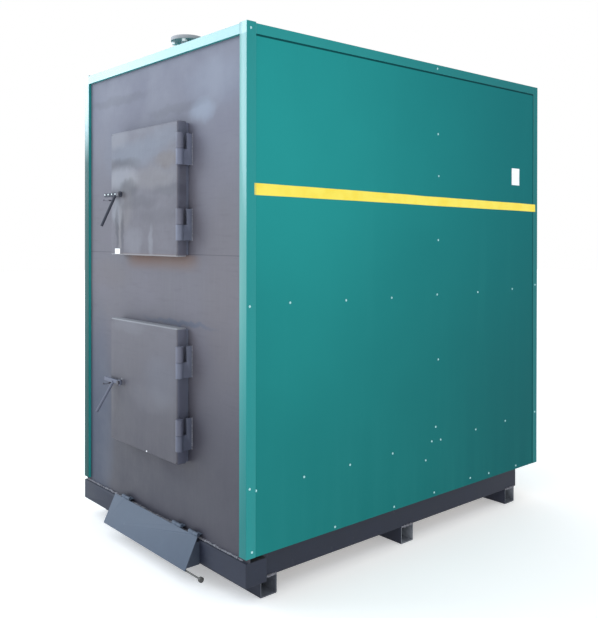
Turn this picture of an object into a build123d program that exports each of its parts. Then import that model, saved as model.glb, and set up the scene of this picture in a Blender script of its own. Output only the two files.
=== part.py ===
from build123d import *
from math import cos, radians, sin, tan
import os

os.makedirs("parts", exist_ok=True)

# Millimetres. X to the right, Y to the back, Z up.
# The origin is the middle of the middle foot's underside, on the floor.
# A cut runs past the face that it leaves by this much.
overshoot = 1

# Skid: three hollow cross feet under a frame of channels
foot_spacing = 884
front_foot_setback = 151
foot_height = 85
foot_depth = 90
foot_wall = 5
beam_height = 100
beam_flange = 50
beam_plate = 7
front_beam_depth = 110
front_beam_end_gap = 2.5
side_beam_inset = 42
rear_beam_setback = 154

# Casing of folded sheet over mineral wool
casing_width = 1485
casing_length = 2134
casing_height = 2200
casing_lift = 18
sheet = 2
wool = 60
wool_joint = 0.3
corner_flange = 49
rear_corner_flange = 42
corner_bend = 1.5
corner_rise = 5
top_flange = 43

# Boiler body: water jackets round a furnace and an ash pit
jacket = 80
front_plate_thickness = 10
front_plate_recess = 15
plate_seam_rise = 10
plate_opening_gap = 6
grate_height = 1283
fire_bar_depth = 70
fire_bar_top = 51
fire_bar_foot = 30
fire_bar_pitch = 78
bearer_depth = 50
bearer_width = 60
bearer_count = 4

# Two alike doors on the front
door_width = 630
door_height = 612
door_centre_x = -22
door_depth = 47
door_sheet = 6
door_corner = 4
door_seal_gap = 0.5
upper_door_bottom = 1434
lower_door_bottom = 500
frame_depth = 16
frame_inset = 6
frame_width = 40
plug_clearance = 15
plug_end_gap = 2

# Barrel hinges at the right of each door
barrel_radius = 17
barrel_length = 71
barrel_gap = 2
hinge_pin_radius = 9
hinge_pin_clearance = 0.08
hinge_split_gap = 1
hinge_cap = 3
hinge_pin_end_gap = 1
hinge_plate = 12
hinge_notch = 18
hinge_strap = 15
upper_door_hinges = (145, 484)
lower_door_hinges = (138, 463)

# Drop latches at the left of each door
latch_height = 301
latch_pivot_inset = 120
latch_overhang = 39
latch_bar_height = 25
latch_bar_thickness = 12
latch_boss_radius = 22
latch_boss_depth = 8
latch_pin_radius = 9
latch_pin_clearance = 0.08
latch_head_radius = 16
latch_head_depth = 9
latch_play = 0.5
lever_radius = 9
lever_root_drop = 4
lever_drop = 158
lever_reach = 56
upper_lever = (45, 77)
lower_lever = (65, 127)
keeper_clearance = 6
keeper_drop = 20
keeper_lip = 6
keeper_hook = 8
keeper_door_gap = 21
keeper_foot = 8
keeper_base = 6

# Air flap over the inlet in the front beam
flap_width = 764
flap_centre_x = 21
flap_length = 158
flap_angle = 26
flap_plate = 4
flap_seat_gap = 0.5
flap_pin_radius = 4
flap_pin_clearance = 0.1
flap_knuckle_radius = 8
flap_knuckle_length = 37
flap_knuckle_gap = 1
flap_axis_forward = 7
flap_axis_up = 25
flap_hinge_inset = 72
flap_hinge_spacing = 137
flap_cheek_foot = 6
inlet_width = 560
inlet_height = 56
rod_radius = 4
rod_start = 290
rod_end = 516
rod_edge = 4
knob_radius = 12
knob_chamfer = 6

# Water flanges and flue
pipe_radius = 30
pipe_wall = 4
flange_radius = 80
flange_thickness = 18
flange_pitch_radius = 62.5
flange_hole_radius = 9
flange_stand = 87
flange_holes = 4
pipe_hole_clearance = 5
supply_setback = 190
return_height = 445
flue_radius = 150
flue_wall = 5
flue_length = 100
flue_crown_gap = 54
flue_hole_clearance = 3
flue_collar_radius = 175
flue_collar = 5

# Levels and planes that follow from the sizes above
base_top = foot_height + beam_height
casing_bottom = base_top + casing_lift
casing_top = casing_bottom + casing_height
front_y = -foot_spacing - front_foot_setback
rear_y = front_y + casing_length
half_width = casing_width / 2
panel_x = half_width - sheet
mat_x = panel_x - sheet
body_x = mat_x - wool
plate_front = front_y + front_plate_recess
plate_back = plate_front + front_plate_thickness
panel_rear = rear_y - sheet
mat_rear = panel_rear - sheet
body_rear = mat_rear - wool
panel_top = casing_top - sheet
mat_top = panel_top - sheet
body_top = mat_top - wool
furnace_x = body_x - jacket
flue_height = body_top - jacket - flue_crown_gap - flue_radius
side_beam_x = half_width - side_beam_inset
base_rear = rear_y - rear_beam_setback

door_left = door_centre_x - door_width / 2
door_right = door_centre_x + door_width / 2
frame_front = plate_front - frame_depth
door_back = frame_front - door_seal_gap
door_face = door_back - door_depth
plate_seam = upper_door_bottom + plate_seam_rise
hinge_x = door_right + barrel_gap + barrel_radius
hinge_y = door_face
latch_x = door_left + latch_pivot_inset
bar_back = door_face - latch_boss_depth - latch_play
bar_front = bar_back - latch_bar_thickness

flap_y = front_y - flap_axis_forward
flap_z = base_top + flap_axis_up
flap_left = flap_centre_x - flap_width / 2
flap_right = flap_centre_x + flap_width / 2
flap_hinge_width = 2 * flap_knuckle_length + flap_knuckle_gap
flap_last_hinge = flap_right - flap_hinge_width
flap_hinge_places = (flap_left + flap_hinge_inset, flap_last_hinge - flap_hinge_spacing, flap_last_hinge)


def block(x, y, z):
    # Each argument is the low and the high coordinate along one axis
    solid = Box(x[1] - x[0], y[1] - y[0], z[1] - z[0])
    return Pos((x[0] + x[1]) / 2, (y[0] + y[1]) / 2, (z[0] + z[1]) / 2) * solid


def bar_along_x(profile, x):
    # A profile of (y, z) points, run from x[0] to x[1]
    face = Plane.YZ.offset(x[0]) * Polygon(*profile, align=None)
    return extrude(face, x[1] - x[0], dir=(1, 0, 0))


def bar_along_y(profile, y):
    # A profile of (x, z) points, run from y[0] to y[1]
    face = Plane.XZ.offset(-y[0]) * Polygon(*profile, align=None)
    return extrude(face, y[1] - y[0], dir=(0, 1, 0))


def bar_along_z(profile, z):
    # A profile of (x, y) points, run from z[0] to z[1]
    face = Plane.XY.offset(z[0]) * Polygon(*profile, align=None)
    return extrude(face, z[1] - z[0], dir=(0, 0, 1))


def rod(start, end, radius):
    direction = Vector(*end) - Vector(*start)
    return extrude(Plane(origin=start, z_dir=direction) * Circle(radius), direction.length)


def save(name, shape):
    export_step(shape, f"parts/{name}.step")


def make_foot(y):
    # Its open ends are flush with the side beams that it carries
    outer = block((-side_beam_x, side_beam_x), (y - foot_depth / 2, y + foot_depth / 2), (0, foot_height))
    bore = block((-half_width, half_width),
                 (y - foot_depth / 2 + foot_wall, y + foot_depth / 2 - foot_wall),
                 (foot_wall, foot_height - foot_wall))
    outer = fillet(outer.edges().filter_by(Axis.X), foot_wall)
    return outer - bore


def channel_points(outside, inside):
    # A channel with its web at `outside`, its flanges reaching to `inside`
    low = foot_height
    high = base_top
    sign = 1 if inside > outside else -1
    web = outside + sign * beam_plate
    return [(outside, low), (inside, low), (inside, low + beam_plate), (web, low + beam_plate),
            (web, high - beam_plate), (inside, high - beam_plate), (inside, high), (outside, high)]


def make_front_beam():
    end = half_width - front_beam_end_gap
    back = front_y + front_beam_depth
    beam = bar_along_x(channel_points(front_y, back), (-end, end))
    for side in (-end, end - beam_plate):
        beam += block((side, side + beam_plate), (front_y, back), (foot_height, base_top))
    middle = (foot_height + base_top) / 2
    inlet = block((flap_centre_x - inlet_width / 2, flap_centre_x + inlet_width / 2),
                  (front_y - beam_plate, front_y + 2 * beam_plate),
                  (middle - inlet_height / 2, middle + inlet_height / 2))
    return beam - inlet


def make_side_beam(side):
    inside = side_beam_x - beam_flange
    profile = [(side * x, z) for x, z in channel_points(side_beam_x, inside)]
    return bar_along_y(profile, (front_y + front_beam_depth, base_rear))


def make_rear_beam():
    end = side_beam_x - beam_flange
    return bar_along_x(channel_points(base_rear, base_rear - beam_flange), (-end, end))


def make_side_wall(side):
    low = side * furnace_x
    high = side * body_x
    return block(sorted((low, high)), (plate_back, body_rear), (base_top, body_top))


def make_rear_wall():
    wall = block((-furnace_x, furnace_x), (body_rear - jacket, body_rear), (base_top, body_top))
    return wall - flue_cut(flue_radius)


def flue_cut(radius):
    return rod((0, body_rear - 2 * jacket, flue_height), (0, rear_y + jacket, flue_height), radius)


def make_crown():
    return block((-furnace_x, furnace_x), (plate_back, body_rear - jacket), (body_top - jacket, body_top))


def make_ash_floor():
    return block((-furnace_x, furnace_x), (plate_back, body_rear - jacket), (base_top, base_top + jacket))


def make_grate():
    # Tapered fire bars lie on cross bearers that span the two side jackets
    bar_bottom = grate_height - fire_bar_depth
    front = plate_back + fire_bar_top
    back = body_rear - jacket - fire_bar_top
    grate = None
    for index in range(bearer_count):
        share = index / (bearer_count - 1)
        y = front + bearer_width / 2 + share * (back - front - bearer_width)
        bearer = block((-furnace_x, furnace_x), (y - bearer_width / 2, y + bearer_width / 2),
                       (bar_bottom - bearer_depth, bar_bottom))
        grate = bearer if grate is None else grate + bearer
    bar_count = int((2 * furnace_x - fire_bar_pitch) / fire_bar_pitch)
    first = -(bar_count - 1) / 2 * fire_bar_pitch
    bars = []
    for index in range(bar_count):
        x = first + index * fire_bar_pitch
        profile = [(x - fire_bar_foot / 2, bar_bottom), (x + fire_bar_foot / 2, bar_bottom),
                   (x + fire_bar_top / 2, grate_height), (x - fire_bar_top / 2, grate_height)]
        bars.append(bar_along_y(profile, (front, back)))
    return grate.fuse(*bars)


def make_wool():
    # Side, rear and top mats, a hair apart where they meet
    side_top = body_top - wool_joint
    mats = []
    for side in (-1, 1):
        mats.append(block(sorted((side * body_x, side * mat_x)), (plate_back, mat_rear),
                          (casing_bottom, side_top)))
    rear_x = body_x - wool_joint
    rear = block((-rear_x, rear_x), (body_rear, mat_rear), (casing_bottom, side_top))
    rear -= flue_cut(flue_radius + flue_hole_clearance)
    rear -= return_cut(pipe_radius + pipe_hole_clearance)
    top = block((-mat_x, mat_x), (plate_back, mat_rear), (body_top, mat_top))
    top -= supply_cut(pipe_radius + pipe_hole_clearance)
    return Compound(children=[*mats, rear, top])


def supply_cut(radius):
    y = front_y + supply_setback
    return rod((0, y, body_top - overshoot), (0, y, casing_top + flange_stand), radius)


def return_cut(radius):
    start = (0, body_rear - overshoot, return_height)
    return rod(start, (0, rear_y + flange_stand, return_height), radius)


def door_opening(bottom):
    # The hole in the front plate, inside the door frame
    margin = frame_inset + frame_width
    return ((door_left + margin, door_right - margin), (bottom + margin, bottom + door_height - margin))


def make_front_plate(bottom, z):
    # Its hole is a little larger than the frame's, whose inner edge stands proud of it
    plate = block((-mat_x, mat_x), (plate_front, plate_back), z)
    x, opening_z = door_opening(bottom)
    hole_x = (x[0] - plate_opening_gap, x[1] + plate_opening_gap)
    hole_z = (opening_z[0] - plate_opening_gap, opening_z[1] + plate_opening_gap)
    return plate - block(hole_x, (plate_front - overshoot, plate_back + overshoot), hole_z)


def make_door_frame(bottom):
    x, z = door_opening(bottom)
    outer = block((x[0] - frame_width, x[1] + frame_width), (frame_front, plate_front),
                  (z[0] - frame_width, z[1] + frame_width))
    return outer - block(x, (frame_front - overshoot, plate_front + overshoot), z)


def make_side_panel(side):
    x = sorted((side * mat_x, side * panel_x))
    return block(x, (front_y + sheet, panel_rear), (casing_bottom, mat_top))


def make_rear_panel():
    panel = block((-mat_x, mat_x), (mat_rear, panel_rear), (casing_bottom, mat_top))
    panel -= flue_cut(flue_radius + flue_hole_clearance)
    return panel - return_cut(pipe_radius + pipe_hole_clearance)


def make_top_panel():
    panel = block((-panel_x, panel_x), (plate_front, panel_rear), (mat_top, panel_top))
    return panel - supply_cut(pipe_radius + pipe_hole_clearance)


def make_front_trim(side):
    # Folded angle with a lip that turns back to the front plate
    edge = half_width - corner_flange
    profile = [(half_width, front_y), (half_width, front_y + corner_flange),
               (panel_x, front_y + corner_flange), (panel_x, front_y + sheet),
               (edge + sheet, front_y + sheet), (edge + sheet, plate_front), (edge, plate_front),
               (edge, front_y)]
    trim = bar_along_z([(side * x, y) for x, y in profile], (casing_bottom, casing_top + corner_rise))
    corner = trim.edges().filter_by(Axis.Z).sort_by_distance((side * half_width, front_y, 0))[0]
    return fillet(corner, corner_bend)


def make_rear_trim(side):
    inner = rear_y - sheet
    profile = [(half_width, rear_y), (half_width - rear_corner_flange, rear_y),
               (half_width - rear_corner_flange, inner), (panel_x, inner),
               (panel_x, rear_y - rear_corner_flange), (half_width, rear_y - rear_corner_flange)]
    return bar_along_z([(side * x, y) for x, y in profile], (casing_bottom, casing_top))


def make_top_side_trim(side):
    profile = [(half_width, casing_top), (half_width, casing_top - top_flange),
               (panel_x, casing_top - top_flange), (panel_x, panel_top),
               (half_width - top_flange, panel_top), (half_width - top_flange, casing_top)]
    return bar_along_y([(side * x, z) for x, z in profile],
                       (front_y + corner_flange, rear_y - rear_corner_flange))


def make_top_front_trim():
    edge = half_width - max(corner_flange, top_flange)
    low = casing_top - top_flange
    profile = [(front_y, casing_top), (front_y, low), (plate_front, low), (plate_front, low + sheet),
               (front_y + sheet, low + sheet), (front_y + sheet, panel_top),
               (front_y + top_flange, panel_top), (front_y + top_flange, casing_top)]
    return bar_along_x(profile, (-edge, edge))


def make_top_rear_trim():
    edge = half_width - max(rear_corner_flange, top_flange)
    low = casing_top - top_flange
    profile = [(rear_y, casing_top), (rear_y, low), (panel_rear, low), (panel_rear, panel_top),
               (rear_y - top_flange, panel_top), (rear_y - top_flange, casing_top)]
    return bar_along_x(profile, (-edge, edge))


def make_nozzle(reach):
    # Pipe stub and welding flange, standing on Z = 0, with its face at Z = reach
    flange_foot = reach - flange_thickness
    profile = [(pipe_radius - pipe_wall, 0), (pipe_radius, 0), (pipe_radius, flange_foot),
               (flange_radius, flange_foot), (flange_radius, reach), (pipe_radius - pipe_wall, reach)]
    nozzle = revolve(Plane.XZ * Polygon(*profile, align=None), Axis.Z)
    for hole in PolarLocations(flange_pitch_radius, flange_holes, start_angle=45):
        cutter = Cylinder(flange_hole_radius, flange_thickness + 2 * overshoot,
                          align=(Align.CENTER, Align.CENTER, Align.MIN))
        nozzle -= Pos(0, 0, flange_foot - overshoot) * hole * cutter
    return nozzle


def make_supply_nozzle():
    reach = casing_top + flange_stand + flange_thickness - body_top
    return Pos(0, front_y + supply_setback, body_top) * make_nozzle(reach)


def make_return_nozzle():
    reach = rear_y + flange_stand + flange_thickness - body_rear
    return Pos(0, body_rear, return_height) * Rot(-90, 0, 0) * make_nozzle(reach)


def make_flue():
    # The spigot with a collar that covers the hole in the rear panel
    start = (0, body_rear - jacket, flue_height)
    end = (0, rear_y + flue_length, flue_height)
    collar = rod((0, panel_rear, flue_height), (0, panel_rear + flue_collar, flue_height), flue_collar_radius)
    return rod(start, end, flue_radius) + collar - rod(start, end, flue_radius - flue_wall)


def make_hinge_bracket(split):
    # The lower barrel and its plate, notched beside the door's own barrel
    low = split - barrel_length
    high = split + barrel_length
    plate_edge = hinge_y + barrel_radius + hinge_notch
    half = hinge_plate / 2
    step = split - hinge_split_gap
    pin_top = high - hinge_cap - hinge_pin_end_gap
    profile = [(plate_front, low), (hinge_y, low), (hinge_y, step), (plate_edge, step),
               (plate_edge, high), (plate_front, high)]
    bracket = bar_along_x(profile, (hinge_x - half, hinge_x + half))
    bracket += rod((hinge_x, hinge_y, low), (hinge_x, hinge_y, step), barrel_radius)
    return bracket + rod((hinge_x, hinge_y, low), (hinge_x, hinge_y, pin_top), hinge_pin_radius)


def make_door_barrel(split):
    # The upper barrel and the strap that joins it to the door's edge
    high = split + barrel_length
    strap = block((door_right - door_sheet, hinge_x), (hinge_y, hinge_y + hinge_strap), (split, high))
    barrel = strap + rod((hinge_x, hinge_y, split), (hinge_x, hinge_y, high), barrel_radius)
    bore = hinge_pin_radius + hinge_pin_clearance
    return barrel - rod((hinge_x, hinge_y, split - overshoot), (hinge_x, hinge_y, high - hinge_cap), bore)


def make_door(bottom, hinges):
    top = bottom + door_height
    tray = block((door_left, door_right), (door_face, door_back), (bottom, top))
    rim = tray.edges().filter_by(Axis.Y) + tray.faces().sort_by(Axis.Y)[0].edges()
    tray = chamfer(rim, door_corner)
    tray -= block((door_left + door_sheet, door_right - door_sheet),
                  (door_face + door_sheet, door_back + overshoot), (bottom + door_sheet, top - door_sheet))
    for height in hinges:
        tray += make_door_barrel(bottom + height)
    z = bottom + latch_height
    boss_front = door_face - latch_boss_depth
    head_back = bar_front - latch_play
    tray += rod((latch_x, door_face, z), (latch_x, boss_front, z), latch_boss_radius)
    tray += rod((latch_x, door_face, z), (latch_x, head_back, z), latch_pin_radius)
    return tray + rod((latch_x, head_back, z), (latch_x, head_back - latch_head_depth, z), latch_head_radius)


def make_door_lining(bottom):
    # Castable block in the tray, with a plug that enters the frame
    top = bottom + door_height
    lining = block((door_left + door_sheet, door_right - door_sheet), (door_face + door_sheet, door_back),
                   (bottom + door_sheet, top - door_sheet))
    x, z = door_opening(bottom)
    inset = plug_clearance
    return lining + block((x[0] + inset, x[1] - inset), (door_back, plate_front - plug_end_gap),
                          (z[0] + inset, z[1] - inset))


def make_latch(bottom, lever):
    z = bottom + latch_height
    half = latch_bar_height / 2
    end = door_left - latch_overhang
    bar = block((end, latch_x), (bar_front, bar_back), (z - half, z + half))
    bar += rod((latch_x, bar_front, z), (latch_x, bar_back, z), latch_boss_radius)
    # The lever leans out from the bar, so that it passes in front of the keeper
    root_offset, tip_offset = lever
    root = (latch_x - root_offset, bar_front, z - lever_root_drop)
    tip = (latch_x - tip_offset, bar_front - lever_reach, z - lever_drop)
    bar += rod(root, tip, lever_radius)
    bore = latch_pin_radius + latch_pin_clearance
    return bar - rod((latch_x, bar_front - overshoot, z), (latch_x, bar_back + overshoot, z), bore)


def make_keeper(bottom):
    # A hook on a base plate, which the latch bar drops into
    z = bottom + latch_height
    high = z - latch_bar_height / 2 - keeper_clearance
    notch_low = high - keeper_drop
    low = notch_low - keeper_lip
    notch_back = bar_back + keeper_clearance
    notch_front = bar_front - keeper_clearance
    tip = notch_front - keeper_lip
    profile = [(plate_front, low), (tip, low), (tip, high), (notch_front, high),
               (notch_front, notch_low), (notch_back, notch_low), (notch_back, high),
               (plate_front, high)]
    right = door_left - keeper_door_gap
    left = right - keeper_hook
    foot = block((left - keeper_foot, right + keeper_foot), (plate_front - keeper_base, plate_front),
                 (low - keeper_foot, high + keeper_foot))
    return foot + bar_along_x(profile, (left, right))


def flap_point(along, out):
    # A point on the closed flap: `along` down from the pin, `out` from its pin line
    angle = radians(flap_angle)
    y = flap_y - along * sin(angle) - out * cos(angle)
    return (y, flap_z - along * cos(angle) + out * sin(angle))


def knuckle(x, start, radius=flap_knuckle_radius):
    return rod((x + start, flap_y, flap_z), (x + start + flap_knuckle_length, flap_y, flap_z), radius)


def make_flap():
    top = flap_knuckle_radius + flap_knuckle_gap
    half = flap_plate / 2
    profile = [flap_point(top, -half), flap_point(top, half), flap_point(flap_length, half),
               flap_point(flap_length, -half)]
    flap = bar_along_x(profile, (flap_left, flap_right))
    root = [flap_point(0, -half), flap_point(0, half), flap_point(top + overshoot, half),
            flap_point(top + overshoot, -half)]
    bore = flap_pin_radius + flap_pin_clearance
    for x in flap_hinge_places:
        flap += bar_along_x(root, (x, x + flap_knuckle_length))
        flap += knuckle(x, 0)
        end = x + flap_knuckle_length + overshoot
        flap -= rod((x - overshoot, flap_y, flap_z), (end, flap_y, flap_z), bore)
    return flap


def make_flap_rod():
    # The rod lies against the back of the flap's lower edge
    y, z = flap_point(flap_length - rod_edge, -flap_plate / 2 - rod_radius)
    shaft = rod((rod_start, y, z), (rod_end, y, z), rod_radius)
    knob = rod((rod_end - knob_radius, y, z), (rod_end + knob_radius, y, z), knob_radius)
    knob = chamfer(knob.edges().filter_by(GeomType.CIRCLE), knob_chamfer)
    return shaft + knob


def make_flap_hood():
    # Side cheeks on the beam that the flap closes on, and the fixed knuckles with their pins
    seat = -flap_plate / 2 - flap_seat_gap
    low = foot_height - flap_cheek_foot
    angle = radians(flap_angle)
    slope = tan(angle)
    line_y, line_z = flap_point(0, seat)
    high = base_top - flap_cheek_foot
    profile = [(front_y, high), (front_y, low), (line_y - (line_z - low) * slope, low),
               (line_y - (line_z - high) * slope, high)]
    solids = []
    for x in (flap_left, flap_right - flap_plate):
        solids.append(bar_along_x(profile, (x, x + flap_plate)))
    for x in flap_hinge_places:
        start = flap_knuckle_length + flap_knuckle_gap
        fixed = knuckle(x, start)
        strap = block((x + start, x + start + flap_knuckle_length), (flap_y, plate_front),
                      (flap_z - flap_plate, flap_z))
        pin = rod((x, flap_y, flap_z), (x + start, flap_y, flap_z), flap_pin_radius)
        solids.append(fixed + strap + pin)
    return Compound(children=solids)


save("foot_front", make_foot(-foot_spacing))
save("foot_middle", make_foot(0))
save("foot_rear", make_foot(foot_spacing))
save("base_front_beam", make_front_beam())
save("base_rear_beam", make_rear_beam())
save("water_wall_rear", make_rear_wall())
save("furnace_crown", make_crown())
save("ash_pit_floor", make_ash_floor())
save("fire_grate", make_grate())
save("wool_mats", make_wool())
save("front_plate_lower", make_front_plate(lower_door_bottom, (base_top, plate_seam)))
save("front_plate_upper", make_front_plate(upper_door_bottom, (plate_seam, mat_top)))
save("rear_panel", make_rear_panel())
save("top_panel", make_top_panel())
save("top_trim_front", make_top_front_trim())
save("top_trim_rear", make_top_rear_trim())
save("rear_corner_trims", Compound(children=[make_rear_trim(-1), make_rear_trim(1)]))
save("supply_nozzle", make_supply_nozzle())
save("return_nozzle", make_return_nozzle())
save("flue_spigot", make_flue())
save("air_flap", make_flap())
save("air_flap_rod", make_flap_rod())
save("air_flap_hood", make_flap_hood())

for side, word in ((-1, "left"), (1, "right")):
    save(f"base_side_beam_{word}", make_side_beam(side))
    save(f"water_wall_{word}", make_side_wall(side))
    save(f"side_panel_{word}", make_side_panel(side))
    save(f"front_corner_trim_{word}", make_front_trim(side))
    save(f"top_trim_{word}", make_top_side_trim(side))

doors = {"upper": (upper_door_bottom, upper_door_hinges, upper_lever),
         "lower": (lower_door_bottom, lower_door_hinges, lower_lever)}
for word, (bottom, hinges, lever) in doors.items():
    brackets = [make_hinge_bracket(bottom + height) for height in hinges]
    save(f"{word}_door", make_door(bottom, hinges))
    save(f"{word}_door_lining", make_door_lining(bottom))
    save(f"{word}_door_frame", make_door_frame(bottom))
    save(f"{word}_hinge_brackets", Compound(children=brackets))
    save(f"{word}_latch", make_latch(bottom, lever))
    save(f"{word}_keeper", make_keeper(bottom))
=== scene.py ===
import math

import bmesh
import bpy
from mathutils import Matrix, Vector, noise


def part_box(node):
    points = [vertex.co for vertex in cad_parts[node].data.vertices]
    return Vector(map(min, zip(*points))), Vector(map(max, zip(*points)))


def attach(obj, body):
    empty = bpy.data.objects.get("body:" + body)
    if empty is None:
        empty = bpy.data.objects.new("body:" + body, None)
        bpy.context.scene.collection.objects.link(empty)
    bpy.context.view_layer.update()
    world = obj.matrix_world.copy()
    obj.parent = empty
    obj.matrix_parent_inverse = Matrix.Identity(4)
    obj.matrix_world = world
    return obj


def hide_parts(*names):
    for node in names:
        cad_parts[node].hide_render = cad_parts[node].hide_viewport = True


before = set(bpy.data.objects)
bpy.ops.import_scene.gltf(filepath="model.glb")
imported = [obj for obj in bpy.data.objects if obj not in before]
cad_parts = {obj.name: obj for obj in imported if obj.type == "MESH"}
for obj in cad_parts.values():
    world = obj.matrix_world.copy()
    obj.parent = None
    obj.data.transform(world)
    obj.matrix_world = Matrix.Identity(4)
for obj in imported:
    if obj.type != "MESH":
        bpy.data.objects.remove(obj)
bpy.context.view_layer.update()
print("frame loaded")

mm = 0.001

# The boiler's own sizes in metres: Z up, -Y the front, +X its right side
casing = {"halfWidth": 0.7425, "front": -1.035, "rear": 1.099, "top": 2.403, "sheet": 0.002,
          "plateFront": -1.02, "frontFlange": 0.049, "rearFlange": 0.042}
base = {"top": 0.185, "footTop": 0.085, "sideBeam": 0.7005, "footSpacing": 0.884, "footDepth": 0.09}
door = {"left": -0.337, "right": 0.293, "face": -1.0835, "height": 0.612, "hingeX": 0.312,
        "bottoms": {"upper": 1.434, "lower": 0.5}, "splits": {"upper": (1.579, 1.918), "lower": (0.638, 0.963)},
        "latchX": -0.217, "latchHeight": 0.301}

# Camera
view = {"place": (3.2574, -2.9251, 1.5213), "azimuth": 49.175, "down": 0.21, "roll": 0.085,
        "focalPixels": 770.78, "centreY": 240.41, "frameHeight": 618, "sensor": 36}


def link(name, data):
    piece = bpy.data.objects.new(name, data)
    bpy.context.scene.collection.objects.link(piece)
    return piece


def makeCamera():
    data = bpy.data.cameras.new("photoCamera")
    data.sensor_fit = "VERTICAL"
    data.sensor_height = view["sensor"]
    data.lens = view["focalPixels"] * view["sensor"] / view["frameHeight"]
    data.shift_y = (view["centreY"] - view["frameHeight"] / 2) / view["frameHeight"]
    data.clip_end = 100
    camera = link("photoCamera", data)
    turn = math.radians(view["azimuth"])
    forward = Vector((-math.sin(turn), math.cos(turn), -math.tan(math.radians(view["down"]))))
    look = forward.to_track_quat("-Z", "Y").to_matrix().to_4x4()
    camera.matrix_world = Matrix.Translation(view["place"]) @ look @ Matrix.Rotation(
        math.radians(view["roll"]), 4, "Z")
    bpy.context.scene.camera = camera


makeCamera()
print("camera placed")


# Shader helpers
class Wire:
    # A shader socket that takes part in sums; each operator adds a Math node
    def __init__(self, shop, socket):
        self.shop = shop
        self.socket = socket

    def __add__(self, other):
        return self.shop.maths("ADD", self, other)

    def __sub__(self, other):
        return self.shop.maths("SUBTRACT", self, other)

    def __rsub__(self, other):
        return self.shop.maths("SUBTRACT", other, self)

    def __mul__(self, other):
        return self.shop.maths("MULTIPLY", self, other)

    def __truediv__(self, other):
        return self.shop.maths("DIVIDE", self, other)

    def __rtruediv__(self, other):
        return self.shop.maths("DIVIDE", other, self)

    __radd__ = __add__
    __rmul__ = __mul__


class NodeBench:
    # Adds nodes to a material's or the world's tree
    def __init__(self, owner):
        owner.use_nodes = True
        self.tree = owner.node_tree
        self.tree.nodes.clear()

    def feed(self, socket, value):
        if isinstance(value, Wire):
            self.tree.links.new(value.socket, socket)
        elif socket.type == "RGBA":
            socket.default_value = (*value, 1)
        else:
            socket.default_value = value

    def node(self, kind, settings=None, inputs=None, out=0):
        made = self.tree.nodes.new(kind)
        for key, value in (settings or {}).items():
            setattr(made, key, value)
        for key, value in (inputs or {}).items():
            self.feed(made.inputs[key], value)
        return Wire(self, made.outputs[out])

    def maths(self, operation, *values):
        return self.node("ShaderNodeMath", {"operation": operation}, dict(enumerate(values)))

    def end(self, kind, shader):
        self.tree.links.new(shader.socket, self.tree.nodes.new(kind).inputs[0])


class PaintShop(NodeBench):
    # Builds one material; every pattern reads Object coordinates
    def __init__(self, name):
        self.material = bpy.data.materials.new(name)
        super().__init__(self.material)
        self.place = self.node("ShaderNodeTexCoord", out="Object")
        self.x, self.y, self.z = (self.split(self.place, axis) for axis in "XYZ")

    def split(self, vector, axis):
        return self.node("ShaderNodeSeparateXYZ", None, {0: vector}, out="XYZ".index(axis))

    def facing(self, axis):
        return self.split(self.node("ShaderNodeNewGeometry", out="Normal"), axis)

    def noise(self, scale, detail=3, rough=0.5, stretch=None):
        at = self.place
        if stretch:
            at = self.node("ShaderNodeVectorMath", {"operation": "MULTIPLY"}, {0: at, 1: stretch})
        sockets = {"Vector": at, "Scale": scale, "Detail": detail, "Roughness": rough}
        return self.node("ShaderNodeTexNoise", None, sockets)

    def cells(self, scale):
        return self.node("ShaderNodeTexVoronoi", None, {"Vector": self.place, "Scale": scale})

    def ease(self, value, low, high, start=0.0, end=1.0):
        sockets = {"Value": value, "From Min": low, "From Max": high, "To Min": start, "To Max": end}
        return self.node("ShaderNodeMapRange", {"interpolation_type": "SMOOTHSTEP"}, sockets)

    def mix(self, share, first, second):
        settings = {"data_type": "RGBA", "blend_type": "MIX", "clamp_factor": True}
        return self.node("ShaderNodeMix", settings, {0: share, 6: first, 7: second}, out=2)

    def bump(self, height, distance, strength=1.0, under=None):
        sockets = {"Height": height, "Distance": distance, "Strength": strength}
        if under:
            sockets["Normal"] = under
        return self.node("ShaderNodeBump", None, sockets)

    def finish(self, **inputs):
        # Names come in camelCase, such as baseColor, and are spelled as Blender's sockets
        sockets = {}
        for key, value in inputs.items():
            words = "".join(" " + c if c.isupper() else c for c in key).title()
            sockets[words.replace("Ior", "IOR")] = value
        self.end("ShaderNodeOutputMaterial", self.node("ShaderNodeBsdfPrincipled", None, sockets))
        return self.material


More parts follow.
